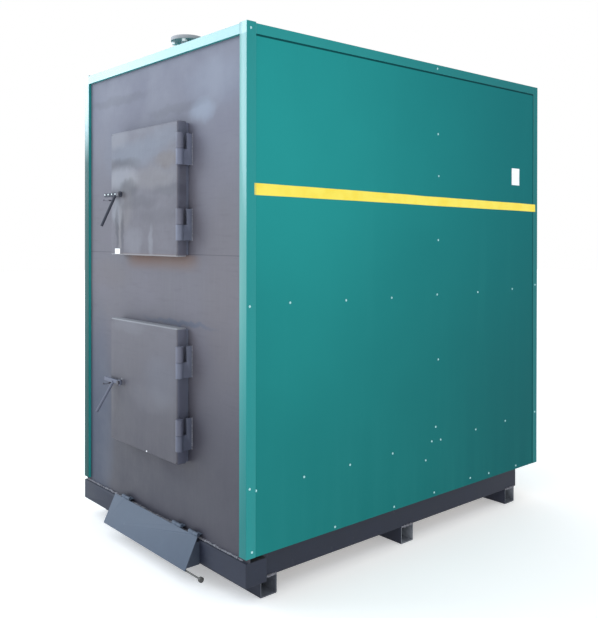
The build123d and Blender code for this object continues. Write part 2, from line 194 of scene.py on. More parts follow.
def greenPaint(shop, colour, dark, dusty, sheen, gloss, shadows=False):
    # Oven-dried enamel on sheet: slow fading, faint runs down the sheet, dust low down; painted shade towards the rear
    # and, on the sheet, towards the bottom
    fade = shop.noise(0.9, 3, 0.5)
    runs = shop.noise(2.0, 4, 0.6, (4, 4, 0.3))
    specks = shop.noise(420, 2, 0.6)
    low = shop.ease(shop.z, 0.95, 0.17)
    paint = shop.mix(shop.ease(fade, 0.3, 0.72) * 0.22, colour, dark)
    sides = shop.ease(shop.maths("ABSOLUTE", shop.x), 0.733, 0.737)
    # Painted shade: darker towards the rear, most of all on the side faces
    paint = shop.mix(shop.ease(shop.y, -1.0, 1.15) * (0.85 * sides + 0.3 * (1 - sides)), paint, dark)
    # Painted shade: the sheet is darker towards the bottom
    if shadows:
        paint = shop.mix(shop.ease(shop.z, 2.1, 0.4) * 0.26, paint, (0.001, 0.006, 0.007))
    paint = shop.mix(shop.ease(runs, 0.52, 0.85) * 0.06, paint, dusty)
    paint = shop.mix(low * shop.ease(runs, 0.3, 0.7) * 0.06, paint, dusty)
    paint = shop.mix(shop.ease(specks, 0.68, 0.76) * 0.2, paint, dusty)
    if shadows:
        # Painted shadow lies in the joints below the top trim and beside the rear one
        under = shop.ease(shop.z, 2.35, 2.353)
        beside = shop.ease(shop.y, 1.05, 1.053)
        jointShadow = shop.maths("MAXIMUM", under, beside * 0.6) * sides
        paint = shop.mix(jointShadow * 0.85, paint, (0.002, 0.03, 0.034))
    dull = 0.34 + 0.12 * shop.ease(runs, 0.3, 0.8) + 0.06 * low
    peel = shop.noise(260, 2, 0.5)
    sway = shop.noise(2.2, 2, 0.45)
    skin = shop.bump(sway, 0.012, 0.5, shop.bump(peel, 0.0002, 0.35))
    if gloss:
        # The faces to the front get more coat, most of all high up and towards the right; painted shade darkens them
        # low down and on the left trim, and painted highlights lighten them high up
        forward = shop.ease(shop.facing("Y"), -0.35, -0.9)
        topStrip = shop.ease(shop.z, 2.355, 2.362) * forward
        side = shop.maths("MAXIMUM", shop.ease(shop.x, -0.6, 0.0, 0.15, 1.0), shop.ease(shop.z, 1.8, 2.3))
        polish = forward * side * shop.ease(shop.z, 0.3, 1.9, 0.05 * gloss, gloss) + 0.2 * topStrip
        gloss = shop.maths("MINIMUM", polish, 1.0)
        # Painted shade: darker low down
        paint = shop.mix(forward * shop.ease(shop.z, 1.3, 0.2) * 0.42, paint, (0.006, 0.04, 0.042))
        # Painted sky reflection: lighter high up
        paint = shop.mix(forward * shop.ease(shop.z, 0.7, 1.5) * 0.1, paint, (0.6, 0.62, 0.55))
        # Painted shade: darker on the left trim below the top
        paint = shop.mix(forward * (1 - side) * 0.9, paint, (0.02, 0.042, 0.046))
        # Painted highlight along the top strip
        paint = shop.mix(topStrip * shop.ease(shop.x, 0.3, -0.5, 0.3, 0.55), paint, (0.56, 0.76, 0.84))
        # Painted highlight at the top of the left trim
        paint = shop.mix(forward * shop.ease(shop.x, -0.66, -0.72) * shop.ease(shop.z, 1.9, 2.3) * 0.6, paint,
                         (0.7, 0.82, 0.88))
    return shop.finish(baseColor=paint, roughness=dull, normal=skin, specularIorLevel=sheen, coatWeight=gloss,
                       coatRoughness=0.22)


def platePaint(shop, grey, worn, sooty, bleached, gloss=0.42, buckle=0.25, smudges=(), seam=None, rubbed=None,
               rim=None):
    # Hand-brushed heat-resisting paint: brush marks, pale rubbed patches, soot, painted shade low down, painted sky
    # light high up and a painted warm reflection under a door
    patches = shop.noise(3.2, 5, 0.62)
    brush = shop.noise(9, 5, 0.65, (5.0, 5.0, 0.45))
    cross = shop.noise(14, 4, 0.6, (0.5, 0.5, 4.0))
    grit = shop.noise(300, 3, 0.6)
    paint = shop.mix(shop.ease(patches, 0.38, 0.7), grey, worn)
    paint = shop.mix(shop.ease(brush, 0.45, 0.75) * 0.35, paint, worn)
    paint = shop.mix(shop.ease(cross, 0.5, 0.8) * 0.18, paint, sooty)
    # Painted shade: darker towards the bottom
    paint = shop.mix(shop.ease(shop.z, 1.35, 0.38) * 0.92, paint, sooty)
    # Painted sky light: lighter and bluer high up
    paint = shop.mix(shop.ease(shop.z, 1.55, 2.3) * 0.8, paint, bleached)
    # Painted warm reflection under the upper door
    warmReflectionBand = shop.ease(shop.z, 1.345, 1.425) * shop.ease(shop.z, 1.45, 1.43)
    warmReflectionSpan = shop.ease(shop.x, -0.33, -0.2) * shop.ease(shop.x, 0.42, 0.25)
    paint = shop.mix(warmReflectionBand * warmReflectionSpan * (0.35 + 0.4 * patches), paint, (0.19, 0.095, 0.05))
    if seam:
        paint = shop.mix(shop.ease(shop.maths("ABSOLUTE", shop.z - seam), 2.6 * mm, 1.2 * mm) * 0.6, paint, sooty)
    if rubbed:
        # Painted highlight: a pale line along one edge of the door
        edge, inwards = rubbed
        paint = shop.mix(shop.ease(shop.z, edge + inwards, edge) * 0.65, paint, (0.34, 0.35, 0.38))
    if rim:
        # Painted sky light: the door's edge on the hinge side, facing +X, is lighter and bluer
        paint = shop.mix(shop.ease(shop.x, door["right"] - 1.2 * mm, door["right"] - 0.4 * mm) * rim, paint,
                         (0.2, 0.225, 0.335))
    if smudges:
        # Each patch, smudge, painted shade and painted light alike: place across and up in metres, half width, half
        # height, share, colour; its edge is ragged
        ragged = shop.noise(7, 4, 0.6)
        ragged2 = shop.noise(9, 4, 0.6, (1.3, 1.0, 0.8))
        for x, z, across, up, share, colour in smudges:
            dx = (shop.x - x + 0.1 * ragged - 0.05) / across
            dz = (shop.z - z + 0.07 * ragged2 - 0.035) / up
            paint = shop.mix(shop.ease(dx * dx + dz * dz, 2.8, 0.0) * (0.95 * share), paint, colour)
    dull = gloss + 0.22 * shop.ease(patches, 0.3, 0.75) + 0.08 * brush
    coat = shop.bump(brush + 0.5 * cross, 0.0009, 0.5, shop.bump(grit, 0.0002, 0.4))
    coat = shop.bump(shop.noise(5.5, 3, 0.5), 0.01, buckle, coat)
    return shop.finish(baseColor=paint, roughness=dull, normal=coat, specularIorLevel=0.4)


def darkPaint(shop, colour, edge, dust, gloss=0.5, hollow=None, ends=None):
    # Primer on rolled steel: mill texture under it, road dust on it, rubbed spots; painted shade on the flap's end
    # cheeks and inside the front foot
    patches = shop.noise(7, 5, 0.6)
    rubs = shop.noise(26, 5, 0.7)
    grit = shop.noise(380, 3, 0.6)
    lies = shop.ease(shop.facing("Z"), 0.35, 0.95)
    paint = shop.mix(shop.ease(patches, 0.35, 0.72) * 0.6, colour, edge)
    paint = shop.mix(shop.ease(rubs, 0.62, 0.74) * 0.35, paint, dust)
    paint = shop.mix(lies * (0.15 + 0.3 * patches), paint, dust)
    if ends:
        # Painted shade: the cheeks at the flap's ends are darker than its face
        middle, reach = ends
        paint = shop.mix(shop.ease(shop.maths("ABSOLUTE", shop.x - middle), reach, reach + 0.2 * mm) * 0.6, paint,
                         (0.01, 0.013, 0.026))
    if hollow:
        # Inside the hollow feet the steel is bare
        near = shop.maths("ABSOLUTE", shop.y)
        near = shop.maths("MINIMUM", near, shop.maths("ABSOLUTE", near - base["footSpacing"]))
        inside = shop.ease(near, 0.043, 0.0425) * shop.ease(shop.z, 0.002, 0.0025)
        inside = inside * shop.ease(shop.z, 0.083, 0.0825)
        bare = shop.mix(shop.ease(patches, 0.3, 0.7), hollow, dust)
        # Painted shade: the bare steel inside darkens towards the front foot
        bare = shop.mix(shop.ease(shop.y, -0.4, -0.8) * 0.45, bare, edge)
        paint = shop.mix(inside, paint, bare)
    dull = gloss + 0.25 * patches
    skin = shop.bump(patches + 0.25 * rubs, 0.0012, 0.5, shop.bump(grit, 0.0002, 0.5))
    return shop.finish(baseColor=paint, roughness=dull, normal=skin, specularIorLevel=0.4)


def zincMetal(shop, colour, rust):
    spangle = shop.noise(160, 4, 0.6)
    stains = shop.noise(60, 4, 0.65)
    skin = shop.mix(shop.ease(spangle, 0.3, 0.7) * 0.5, colour, tuple(0.6 * c for c in colour))
    rusty = shop.ease(stains, 0.7, 0.8)
    skin = shop.mix(rusty * 0.8, skin, rust)
    dull = 0.28 + 0.3 * spangle
    return shop.finish(baseColor=skin, roughness=dull, metallic=0.9 - 0.7 * rusty,
                       normal=shop.bump(spangle, 0.0002, 0.5))


def tapeYellow(shop):
    mottle = shop.noise(14, 3, 0.5)
    wrinkle = shop.noise(30, 3, 0.55, (1, 0.4, 2.5))
    grime = shop.noise(5, 4, 0.65)
    skin = shop.mix(shop.ease(mottle, 0.35, 0.7), (0.97, 0.79, 0.095), (0.95, 0.73, 0.06))
    skin = shop.mix(shop.ease(grime, 0.55, 0.8) * 0.15, skin, (0.75, 0.55, 0.08))
    return shop.finish(baseColor=skin, roughness=0.34 + 0.2 * grime, normal=shop.bump(wrinkle, 0.0006, 0.5),
                       specularIorLevel=0.4)


def castable(shop):
    grains = shop.cells(90)
    pores = shop.noise(55, 5, 0.7)
    smoke = shop.noise(3.5, 4, 0.6)
    skin = shop.mix(shop.ease(pores, 0.35, 0.7), (0.5, 0.43, 0.34), (0.36, 0.3, 0.24))
    skin = shop.mix(shop.ease(smoke, 0.4, 0.72) * 0.7, skin, (0.1, 0.08, 0.07))
    return shop.finish(baseColor=skin, roughness=0.85 + 0.1 * smoke, normal=shop.bump(pores + grains, 0.002, 0.6))


def mottledSkin(shop, patches, turn, colours, dull, relief=None, grain=None, soot=None, **rest):
    # Two colours in patches; soot is a third over them, and the relief follows the grain or else the patches
    pattern = shop.noise(*patches)
    skin = shop.mix(shop.ease(pattern, *turn), *colours)
    if soot:
        skin = shop.mix(shop.ease(shop.noise(*soot["patches"]), *soot["turn"]), skin, soot["colour"])
    if relief:
        rest["normal"] = shop.bump(shop.noise(*grain) if grain else pattern, *relief)
    return shop.finish(baseColor=skin, roughness=dull[0] + dull[1] * pattern, **rest)


palePatch, warmPatch = (0.25, 0.26, 0.3), (0.22, 0.21, 0.215)
bluePatch, darkPatch, brownPatch = (0.16, 0.19, 0.25), (0.06, 0.062, 0.078), (0.125, 0.1, 0.092)
skyGlowPatch, shadePatch = (0.24, 0.29, 0.38), (0.055, 0.075, 0.125)
# Patches of smudge and of painted light: the glow patches are painted sky light, the shade patches painted shade
smudges = {
    # On the upper door, the narrow dark patches near 1.55 are painted shade in vertical creases, and the pale one at
    # (-0.264, 1.66) a painted highlight on the ridge above them
    "upperDoor": [(-0.27, 2.02, 0.08, 0.04, 0.5, palePatch), (-0.11, 1.93, 0.22, 0.05, 0.5, bluePatch),
                  (-0.222, 1.88, 0.13, 0.026, 0.6, darkPatch), (-0.225, 1.812, 0.12, 0.045, 0.75, palePatch),
                  (-0.16, 1.757, 0.07, 0.035, 0.75, darkPatch), (-0.264, 1.66, 0.05, 0.06, 0.7, palePatch),
                  (-0.185, 1.66, 0.05, 0.08, 0.35, warmPatch), (-0.275, 1.555, 0.013, 0.085, 0.7, darkPatch),
                  (-0.212, 1.55, 0.016, 0.1, 0.6, darkPatch), (-0.243, 1.545, 0.014, 0.09, 0.35, warmPatch),
                  (0.215, 1.875, 0.1, 0.026, 0.55, brownPatch), (-0.05, 1.69, 0.14, 0.024, 0.4, darkPatch),
                  (0.2, 1.737, 0.11, 0.022, 0.4, darkPatch), (0.06, 1.8, 0.19, 0.04, 0.35, warmPatch),
                  (0.071, 1.5, 0.02, 0.07, 0.4, palePatch), (0.17, 1.985, 0.12, 0.04, 0.35, bluePatch),
                  (0.12, 1.62, 0.15, 0.03, 0.25, darkPatch), (-0.1, 1.5, 0.06, 0.06, 0.25, palePatch)],
    "lowerDoor": [(-0.15, 1.085, 0.12, 0.024, 0.14, palePatch), (0.15, 0.86, 0.11, 0.09, 0.14, bluePatch),
                  (-0.22, 0.7, 0.08, 0.11, 0.18, darkPatch), (0.08, 0.76, 0.16, 0.05, 0.1, palePatch)],
    # On the plate, the band at 1.125 is a painted shadow above the lower door, the tall patch low on the left painted
    # shade, and the two glow patches painted sky light
    "plate": [(0.39, 2.085, 0.08, 0.04, 0.5, skyGlowPatch), (0.2, 1.125, 0.23, 0.01, 0.6, shadePatch),
              (-0.6, 0.56, 0.13, 0.42, 0.55, shadePatch), (0.52, 2.2, 0.2, 0.08, 0.2, skyGlowPatch),
              (-0.4, 2.23, 0.26, 0.02, 0.25, darkPatch), (0.2, 2.12, 0.2, 0.018, 0.25, darkPatch),
              (-0.43, 1.96, 0.08, 0.1, 0.2, bluePatch), (0.1, 0.33, 0.35, 0.06, 0.25, darkPatch),
              (0.56, 1.3, 0.12, 0.3, 0.15, brownPatch), (-0.5, 1.33, 0.18, 0.06, 0.18, brownPatch)],
}
recipes = {
    "greenSheet": (greenPaint, {
        "colour": (0.021, 0.292, 0.282), "dark": (0.008, 0.134, 0.144), "dusty": (0.06, 0.36, 0.34), "sheen": 0.02,
        "gloss": 0.0, "shadows": True}),
    "greenTrim": (greenPaint, {
        "colour": (0.026, 0.288, 0.282), "dark": (0.01, 0.15, 0.158), "dusty": (0.1, 0.4, 0.38), "sheen": 0.08,
        "gloss": 0.9}),
    "frontPaint": (platePaint, {
        "grey": (0.118, 0.113, 0.138), "worn": (0.146, 0.139, 0.169), "sooty": (0.036, 0.035, 0.05),
        "bleached": (0.152, 0.16, 0.218), "smudges": smudges["plate"], "seam": 1.444}),
    "upperDoorPaint": (platePaint, {
        "grey": (0.105, 0.1, 0.124), "worn": (0.146, 0.141, 0.17), "sooty": (0.06, 0.058, 0.072),
        "bleached": (0.15, 0.153, 0.195), "gloss": 0.36, "buckle": 0.6, "smudges": smudges["upperDoor"],
        "rubbed": (1.438, 4 * mm), "rim": 0.16}),
    "lowerDoorPaint": (platePaint, {
        "grey": (0.108, 0.104, 0.126), "worn": (0.14, 0.136, 0.162), "sooty": (0.046, 0.044, 0.06),
        "bleached": (0.15, 0.153, 0.195), "gloss": 0.36, "buckle": 0.35, "smudges": smudges["lowerDoor"],
        "rubbed": (1.109, -4 * mm), "rim": 0.26}),
    # A lighter, bluer copy of the front paint for the door frames and hinge brackets: painted sky light on their side
    # faces
    "hingePaint": (platePaint, {
        "grey": (0.145, 0.157, 0.215), "worn": (0.178, 0.19, 0.25), "sooty": (0.085, 0.093, 0.135),
        "bleached": (0.185, 0.195, 0.27)}),
    "latchPaint": (darkPaint, {
        "colour": (0.032, 0.036, 0.054), "edge": (0.05, 0.056, 0.08), "dust": (0.11, 0.12, 0.14)}),
    "skidPaint": (darkPaint, {
        "colour": (0.013, 0.017, 0.034), "edge": (0.021, 0.026, 0.048), "dust": (0.06, 0.065, 0.085),
        "hollow": (0.29, 0.31, 0.345)}),
    "flapPaint": (darkPaint, {
        "colour": (0.072, 0.096, 0.14), "edge": (0.09, 0.118, 0.164), "dust": (0.14, 0.16, 0.2),
        "ends": (0.021, 0.3815)}),
    "fluePaint": (darkPaint, {"colour": (0.09, 0.092, 0.108), "edge": (0.125, 0.124, 0.14), "dust": (0.2, 0.2, 0.21)}),
    "pipePaint": (darkPaint, {"colour": (0.4, 0.4, 0.43), "edge": (0.5, 0.5, 0.53), "dust": (0.6, 0.6, 0.61)}),
    "rodSteel": (darkPaint, {
        "colour": (0.06, 0.058, 0.056), "edge": (0.11, 0.105, 0.1), "dust": (0.22, 0.21, 0.2), "gloss": 0.34}),
    "zinc": (zincMetal, {"colour": (0.84, 0.92, 0.93), "rust": (0.45, 0.38, 0.32)}),
    "screwZinc": (zincMetal, {"colour": (0.56, 0.86, 0.87), "rust": (0.4, 0.45, 0.42)}),
    "weld": (mottledSkin, {
        "patches": (90, 4, 0.6), "turn": (0.35, 0.7), "colours": ((0.25, 0.25, 0.29), (0.12, 0.12, 0.145)),
        "dull": (0.42, 0.2), "relief": (0.0006, 0.6), "specularIorLevel": 0.6}),
    "tape": (tapeYellow, {}),
    "paper": (mottledSkin, {
        "patches": (30, 4, 0.6), "turn": (0.4, 0.75, 0, 0.5), "colours": ((0.96, 0.97, 0.98), (0.9, 0.92, 0.94)),
        "dull": (0.42, 0.15), "relief": (0.0001, 0.3), "grain": (500, 2, 0.5)}),
    "castIron": (mottledSkin, {
        "patches": (12, 4, 0.6), "turn": (0.4, 0.7), "colours": ((0.13, 0.12, 0.12), (0.34, 0.3, 0.27)),
        "dull": (0.7, 0.2), "relief": (0.0012, 0.8), "grain": (140, 5, 0.65)}),
    "furnaceSteel": (mottledSkin, {
        "patches": (18, 6, 0.65), "turn": (0.4, 0.68), "colours": ((0.34, 0.3, 0.27), (0.42, 0.29, 0.2)),
        "dull": (0.62, 0.25), "relief": (0.0015, 0.7),
        "soot": {"patches": (3, 4, 0.6), "turn": (0.35, 0.65, 0, 0.7), "colour": (0.13, 0.12, 0.12)}}),
    "castable": (castable, {}),
    "wool": (mottledSkin, {
        "patches": (60, 6, 0.75, (0.4, 1, 3)), "turn": (0.3, 0.7), "colours": ((0.62, 0.52, 0.25), (0.4, 0.33, 0.15)),
        "dull": (0.9, 0.05), "relief": (0.004, 0.9)}),
    "floor": (mottledSkin, {
        "patches": (0.7, 4, 0.55), "turn": (0.3, 0.7), "colours": ((0.9, 0.9, 0.9), (0.93, 0.93, 0.93)),
        "dull": (0.85, 0.05), "specularIorLevel": 0.1, "emissionColor": (1, 1, 1), "emissionStrength": 0.34}),
}
finishes = {name: maker(PaintShop(name), **settings) for name, (maker, settings) in recipes.items()}
print("finishes made")


# Mesh helpers
def baked(piece):
    # The evaluated shape becomes the piece's own plain mesh
    bpy.context.view_layer.update()
    graph = bpy.context.evaluated_depsgraph_get()
    mesh = bpy.data.meshes.new_from_object(piece.evaluated_get(graph), depsgraph=graph)
    piece.modifiers.clear()
    piece.data = mesh
    return piece


def dress(piece, body, finish, slot, stands=()):
    if not piece.data.materials:
        piece.data.materials.append(finishes[finish])
    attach(piece, body)
    if stands:
        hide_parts(*stands)


def settled(bm, name):
    # A worked shape becomes the mesh of a new piece
    mesh = bpy.data.meshes.new(name)
    bm.to_mesh(mesh)
    bm.free()
    return link(name, mesh)


def smoothByAngle(mesh, degrees=32):
    mesh.polygons.foreach_set("use_smooth", [True] * len(mesh.polygons))
    mesh.set_sharp_from_angle(angle=math.radians(degrees))


# Angles in degrees: past sharp an edge is broken, under flat two faces are one, up to curved they are one curve
edgeRule = {"sharp": 40, "flat": 1, "curved": 22, "merge": 0.02 * mm, "narrow": 3 * mm}


def shadeFlats(mesh):
    # Curved surfaces and broken edges are shaded smooth, flat faces flat
    smoothByAngle(mesh)
    bm = bmesh.new()
    bm.from_mesh(mesh)
    for face in bm.faces:
        turns = [math.degrees(edge.calc_face_angle(0)) for edge in face.edges]
        curved = any(edgeRule["flat"] < turn < edgeRule["curved"] for turn in turns)
        narrow = face.calc_area() / max(edge.calc_length() for edge in face.edges) < edgeRule["narrow"]
        face.smooth = curved or narrow
    flats = [face for face in bm.faces if not face.smooth and len(face.verts) > 4]
    bmesh.ops.triangulate(bm, faces=flats, ngon_method="EAR_CLIP")
    bm.to_mesh(mesh)
    bm.free()


def breakEdges(piece, width, miter):
    bevel = piece.modifiers.new("edges", "BEVEL")
    bevel.limit_method = "ANGLE"
    bevel.angle_limit = math.radians(edgeRule["sharp"])
    bevel.width = width
    bevel.segments = 2
    bevel.miter_outer = miter
    baked(piece)
    shadeFlats(piece.data)


def roundedCopy(node, finish, slot, body="boiler", width=0.8 * mm, reshape=None, joined=True):
    # The CAD shape with its doubles merged, flat faces joined and its sharp edges broken
    bm = bmesh.new()
    bm.from_mesh(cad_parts[node].data)
    bmesh.ops.remove_doubles(bm, verts=bm.verts, dist=edgeRule["merge"])
    if joined:
        bmesh.ops.dissolve_limit(bm, angle_limit=math.radians(edgeRule["flat"]), verts=bm.verts, edges=bm.edges)
    if reshape:
        for corner in bm.verts:
            corner.co = reshape(corner.co)
    piece = settled(bm, node + "_dressed")
    breakEdges(piece, width, "MITER_ARC")
    dress(piece, body, finish, slot, (node,))


def sheetShell(name, columns, rows, front, back):
    # A closed thin shell: front(u, v) and back(u, v) give its two faces
    bm = bmesh.new()
    sides = []
    for surface in (front, back):
        grid = [[bm.verts.new(surface(i / columns, j / rows)) for i in range(columns + 1)] for j in range(rows + 1)]
        sides.append(grid)
    for k, grid in enumerate(sides):
        for j in range(rows):
            for i in range(columns):
                quad = [grid[j][i], grid[j][i + 1], grid[j + 1][i + 1], grid[j + 1][i]]
                bm.faces.new(quad if k == 0 else quad[::-1])
    rim = [(0, i) for i in range(columns)] + [(j, columns) for j in range(rows)]
    rim += [(rows, i) for i in range(columns, 0, -1)] + [(j, 0) for j in range(rows, 0, -1)]
    for (j, i), (jj, ii) in zip(rim, rim[1:] + rim[:1]):
        bm.faces.new([sides[0][j][i], sides[1][j][i], sides[1][jj][ii], sides[0][jj][ii]])
    bmesh.ops.recalc_face_normals(bm, faces=bm.faces)
    shell = settled(bm, name)
    smoothByAngle(shell.data)
    return shell


# CAD nodes that keep their shape
kept = {
    "furnaceSteel": ["water_wall_left", "water_wall_right", "water_wall_rear", "furnace_crown", "ash_pit_floor"],
    "castIron": ["fire_grate"],
    "wool": ["wool_mats"],
    "castable": ["upper_door_lining", "lower_door_lining"],
    "frontPaint": ["front_plate_upper", "front_plate_lower"],
    "greenSheet": ["rear_panel", "top_panel"],
}
for finish, nodes in kept.items():
    for node in nodes:
        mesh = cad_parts[node].data
        mesh.materials.clear()
        mesh.materials.append(finishes[finish])

# CAD nodes with broken edges
rounded = {
    "skidPaint": ("skid_paint", 1.6 * mm, ["foot_front", "foot_middle", "foot_rear", "base_front_beam",
                                           "base_rear_beam", "base_side_beam_left", "base_side_beam_right"]),
    "greenTrim": ("green_trim", 0.7 * mm, ["front_corner_trim_left", "front_corner_trim_right", "rear_corner_trims",
                                           "top_trim_front", "top_trim_rear", "top_trim_left", "top_trim_right"]),
    "hingePaint": ("front_paint", 1.2 * mm, ["upper_door_frame", "lower_door_frame", "upper_hinge_brackets",
                                             "lower_hinge_brackets"]),
    "pipePaint": ("pipe_paint", 1.2 * mm, ["supply_nozzle", "return_nozzle"]),
    "fluePaint": ("pipe_paint", 1.2 * mm, ["flue_spigot"]),
    "flapPaint": ("flap_paint", 0.9 * mm, ["air_flap_hood"]),
}
for finish, (slot, width, nodes) in rounded.items():
    for node in nodes:
        # Joined round their opening, the door frames' faces would close it
        roundedCopy(node, finish, slot, width=width, joined="door_frame" not in node)

# Latches: the pivot is slimmer than the solid's, the keeper lower
latch = {"slim": 0.64, "reach": 0.03, "barHeight": 19 * mm, "barThick": 10 * mm, "barBack": -1.0925, "barEnd": -0.374,
         "bossRadius": 14.5 * mm, "bossSides": 28, "leverRadius": 7 * mm, "leverSides": 14, "leverDrop": 0.158,
         "leverReach": 0.056, "levers": {"upper": (0.045, 0.077), "lower": (0.065, 0.127)},
         "rivetSpots": (-0.367, -0.331, -0.294, -0.258), "rivetRadius": 5 * mm,
         "keeperShare": 0.25, "keeperLevel": 23.2 * mm, "keeperBase": 6 * mm,
         "paints": {"upper": "latchPaint", "lower": "hingePaint"}}


def slimPivot(word):
    # The boss and pin head on the door are drawn in towards the latch's axis
    height = door["bottoms"][word] + door["latchHeight"]

    def reshape(corner):
        across, up = corner.x - door["latchX"], corner.z - height
        if corner.y > door["face"] - 0.1 * mm or math.hypot(across, up) > latch["reach"]:
            return corner
        return Vector((door["latchX"] + across * latch["slim"], corner.y, height + up * latch["slim"]))

    return reshape


def lowKeeper(word):
    # The hook is squashed in height, deep enough below the bar for the bar to drop into it
    level = door["bottoms"][word] + door["latchHeight"] - latch["keeperLevel"]

    def reshape(corner):
        y = corner.y
        if abs(y - casing["plateFront"] + latch["keeperBase"]) < 0.5 * mm:
            y = casing["plateFront"] - 1 * mm
        return Vector((corner.x, y, level + (corner.z - level) * latch["keeperShare"]))

    return reshape


def addRod(bm, start, end, radius, sides):
    start, end = Vector(start), Vector(end)
    turn = (end - start).to_track_quat("Z", "Y").to_matrix().to_4x4()
    bmesh.ops.create_cone(bm, cap_ends=True, segments=sides, radius1=radius, radius2=radius,
                          depth=(end - start).length, matrix=Matrix.Translation((start + end) / 2) @ turn)


def makeRivets(word, front, height):
    bm = bmesh.new()
    for x in latch["rivetSpots"]:
        bmesh.ops.create_icosphere(bm, subdivisions=2, radius=latch["rivetRadius"], matrix=Matrix.Translation(
            (x, front, height + 2 * mm)) @ Matrix.Diagonal((1, 0.55, 1, 1)))
    rivets = settled(bm, word + "_latch_rivets")
    smoothByAngle(rivets.data, 60)
    dress(rivets, word + "_latch", "zinc", "bright_steel")


def makeLatch(word):
    height = door["bottoms"][word] + door["latchHeight"]
    back = latch["barBack"]
    front = back - latch["barThick"]
    bm = bmesh.new()
    for corner in bmesh.ops.create_cube(bm, size=1)["verts"]:
        corner.co = ((latch["barEnd"] + door["latchX"]) / 2 + corner.co.x * (door["latchX"] - latch["barEnd"]),
                     (back + front) / 2 + corner.co.y * latch["barThick"], height + corner.co.z * latch["barHeight"])
    addRod(bm, (door["latchX"], back, height), (door["latchX"], front - 1 * mm, height), latch["bossRadius"],
           latch["bossSides"])
    root, tip = latch["levers"][word]
    addRod(bm, (door["latchX"] - root, front + 3 * mm, height - 4 * mm),
           (door["latchX"] - tip, front - latch["leverReach"], height - latch["leverDrop"]),
           latch["leverRadius"], latch["leverSides"])
    piece = settled(bm, word + "_latch_dressed")
    breakEdges(piece, 1.2 * mm, "MITER_SHARP")
    dress(piece, word + "_latch", latch["paints"][word], "front_paint", (word + "_latch",))
    if word == "upper":
        makeRivets(word, front, height)


for word in ("upper", "lower"):
    roundedCopy(word + "_door", word + "DoorPaint", "front_paint", word + "_door", 1.2 * mm, slimPivot(word))
    roundedCopy(word + "_keeper", "frontPaint", "front_paint", reshape=lowKeeper(word))
    makeLatch(word)
roundedCopy("air_flap", "flapPaint", "flap_paint", "air_flap", 0.9 * mm)
roundedCopy("air_flap_rod", "rodSteel", "bright_steel", "air_flap", 0.9 * mm)
print("CAD pieces dressed")


def swellAt(waves, across, up, seed):
    # Layers of noise, each with its waves across and up and its share
    return sum(share * noise.noise(Vector((across * along, up * upwards, seed * (k + 1))))
               for k, (along, upwards, share) in enumerate(waves))


# Side panels: thin sheet that bellies a little between its screws
sideSheet = {"columns": 90, "rows": 90, "belly": 0.9 * mm, "seed": 3.7, "edge": 0.05,
             "waves": ((1.7, 1.7, 1.0), (4.1, 3.1, 0.5))}


def makeSidePanel(word, side):
    low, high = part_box("side_panel_" + word)
    outer = max(abs(low.x), abs(high.x))
    inner = min(abs(low.x), abs(high.x))

    def hold(u):
        return min(1, u / sideSheet["edge"], (1 - u) / sideSheet["edge"])

    def front(u, v):
        y = low.y + (high.y - low.y) * u
        z = low.z + (high.z - low.z) * v
        swell = swellAt(sideSheet["waves"], y, z, sideSheet["seed"] * side)
        return (side * (outer + sideSheet["belly"] * swell * hold(u) * hold(v)), y, z)

    def back(u, v):
        return (side * inner, low.y + (high.y - low.y) * u, low.z + (high.z - low.z) * v)

    panel = sheetShell("side_sheet_" + word, sideSheet["columns"], sideSheet["rows"], front, back)
    dress(panel, "boiler", "greenSheet", "green_sheet", ("side_panel_" + word,))


makeSidePanel("left", -1)
makeSidePanel("right", 1)

# Door skins: thin sheet buckled by the heat
doorSkin = {"grid": 70, "inset": 4 * mm, "proud": 0.25 * mm, "back": 2 * mm, "level": 0.9, "highest": 3.0,
            "hem": 0.04, "waves": ((5, 5, 0.8), (12, 9, 0.35)), "dentShare": 0.8,
            "seeds": {"upper": 5.1, "lower": 9.4}, "lively": {"upper": 1.0, "lower": 0.35}}
dents = {
    # x and z as shares of the door, radius across and up, height in millimetres
    "upper": [(0.1, 0.42, 0.07, 0.1, 1.8), (0.17, 0.2, 0.03, 0.16, 1.6), (0.25, 0.24, 0.04, 0.18, -0.9),
              (0.14, 0.62, 0.1, 0.06, 1.5), (0.14, 0.74, 0.12, 0.05, 0.4), (0.45, 0.62, 0.16, 0.1, 1.2),
              (0.72, 0.7, 0.14, 0.08, 1.3), (0.86, 0.6, 0.08, 0.1, 0.2), (0.6, 0.4, 0.2, 0.07, 0.9),
              (0.48, 0.44, 0.1, 0.06, 0.2), (0.8, 0.22, 0.15, 0.15, 1.1), (0.45, 0.88, 0.25, 0.06, 0.9)],
    "lower": [(0.3, 0.7, 0.2, 0.15, 0.8), (0.6, 0.35, 0.22, 0.2, 0.9), (0.8, 0.75, 0.12, 0.12, 0.5)],
}


def makeDoorSkin(word):
    bottom = door["bottoms"][word] + doorSkin["inset"]
    left = door["left"] + doorSkin["inset"]
    width = door["right"] - door["left"] - 2 * doorSkin["inset"]
    height = door["height"] - 2 * doorSkin["inset"]

    def front(u, v):
        edge = min(1, *(share / doorSkin["hem"] for share in (u, 1 - u, v, 1 - v)))
        rise = doorSkin["level"] + doorSkin["lively"][word] * swellAt(doorSkin["waves"], u, v, doorSkin["seeds"][word])
        for x, z, acrossRadius, upRadius, high in dents[word]:
            dent = math.exp(-((u - x) / acrossRadius) ** 2 - ((v - z) / upRadius) ** 2)
            rise += high * dent * doorSkin["dentShare"]
        rise = min(doorSkin["highest"], max(0.0, rise))
        return (left + width * u, door["face"] - doorSkin["proud"] * edge - rise * mm * edge, bottom + height * v)

    def back(u, v):
        return (left + width * u, door["face"] + doorSkin["back"], bottom + height * v)

    skin = sheetShell(word + "_door_skin", doorSkin["grid"], doorSkin["grid"], front, back)
    dress(skin, word + "_door", word + "DoorPaint", "front_paint")


makeDoorSkin("upper")
makeDoorSkin("lower")
print("sheets made")


